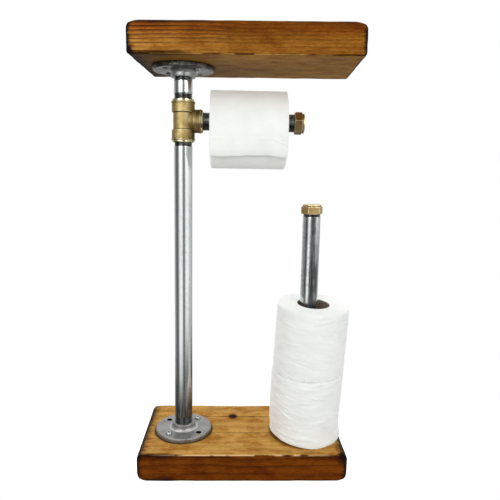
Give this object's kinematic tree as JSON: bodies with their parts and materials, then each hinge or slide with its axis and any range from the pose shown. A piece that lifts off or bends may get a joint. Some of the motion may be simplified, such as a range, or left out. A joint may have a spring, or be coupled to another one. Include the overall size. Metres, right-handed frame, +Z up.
{
  "type": "toilet paper holder",
  "caption": "Free-standing toilet paper holder of threaded pipe with wooden base and shelf, a side arm for the roll in use and a post for spare rolls.",
  "frame": {"origin": "centre of the base board's underside, on the floor", "axes": "+Z up, +X along the boards from the main post towards the spare rolls, +Y to the back; the front faces -Y"},
  "size_m": [0.3176, 0.1795, 0.636],
  "materials": {
    "stained_pine": "satin",
    "cast_flange": "satin",
    "zinc_screw": "satin",
    "galvanised_pipe": "satin",
    "brass": "satin",
    "fibre_washer": "matte",
    "tissue": "matte",
    "core_board": "matte"
  },
  "bodies": {
    "stand": {"base_board": "stained_pine", "shelf_board": "stained_pine", "base_flange": "cast_flange", "shelf_flange": "cast_flange", "spare_post_flange": "cast_flange", "base_flange_screws": "zinc_screw", "shelf_flange_screws": "zinc_screw", "spare_post_flange_screws": "zinc_screw", "main_post": "galvanised_pipe", "upper_nipple": "galvanised_pipe", "tee": "brass", "arm_pipe": "galvanised_pipe", "spare_post": "galvanised_pipe"},
    "arm_roll": {"arm_roll_core": "core_board", "arm_roll_paper": "tissue", "arm_roll_tail_sheet": "tissue"},
    "lower_roll": {"lower_roll_core": "core_board", "lower_roll_paper": "tissue"},
    "upper_roll": {"upper_roll_core": "core_board", "upper_roll_paper": "tissue"},
    "arm_cap_seal": {"arm_cap_washer": "fibre_washer"},
    "arm_cap_nut": {"arm_cap": "brass"},
    "spare_cap_seal": {"spare_post_cap_washer": "fibre_washer"},
    "spare_cap_nut": {"spare_post_cap": "brass"}
  },
  "joints": [
    {"name": "arm_roll_spin", "type": "hinge", "parent": "stand", "child": "arm_roll", "pos_m": [0.00175, -0.005, 0.50875], "axis": [1, 0, 0], "continuous": true},
    {"name": "lower_roll_lift", "type": "slide", "parent": "stand", "child": "lower_roll", "axis": [0, 0, 1], "range_m": [0, 0.095]},
    {"name": "upper_roll_lift", "type": "slide", "parent": "lower_roll", "child": "upper_roll", "axis": [0, 0, 1], "range_m": [0, 0.095]},
    {"name": "arm_cap_travel", "type": "slide", "parent": "stand", "child": "arm_cap_seal", "axis": [1, 0, 0], "range_m": [0, 0.00816]},
    {"name": "arm_cap_turn", "type": "hinge", "parent": "arm_cap_seal", "child": "arm_cap_nut", "pos_m": [0.0785, -0.005, 0.519], "axis": [1, 0, 0], "range_deg": [0, 1620]},
    {"name": "spare_cap_travel", "type": "slide", "parent": "stand", "child": "spare_cap_seal", "axis": [0, 0, 1], "range_m": [0, 0.00816]},
    {"name": "spare_cap_turn", "type": "hinge", "parent": "spare_cap_seal", "child": "spare_cap_nut", "pos_m": [0.1, 0, 0.397], "axis": [0, 0, 1], "range_deg": [0, 1620]}
  ],
  "couplings": [
    {"joint": "arm_cap_travel", "follows": "arm_cap_turn", "m_per_rad": 0.00028871},
    {"joint": "spare_cap_travel", "follows": "spare_cap_turn", "m_per_rad": 0.00028871}
  ]
}
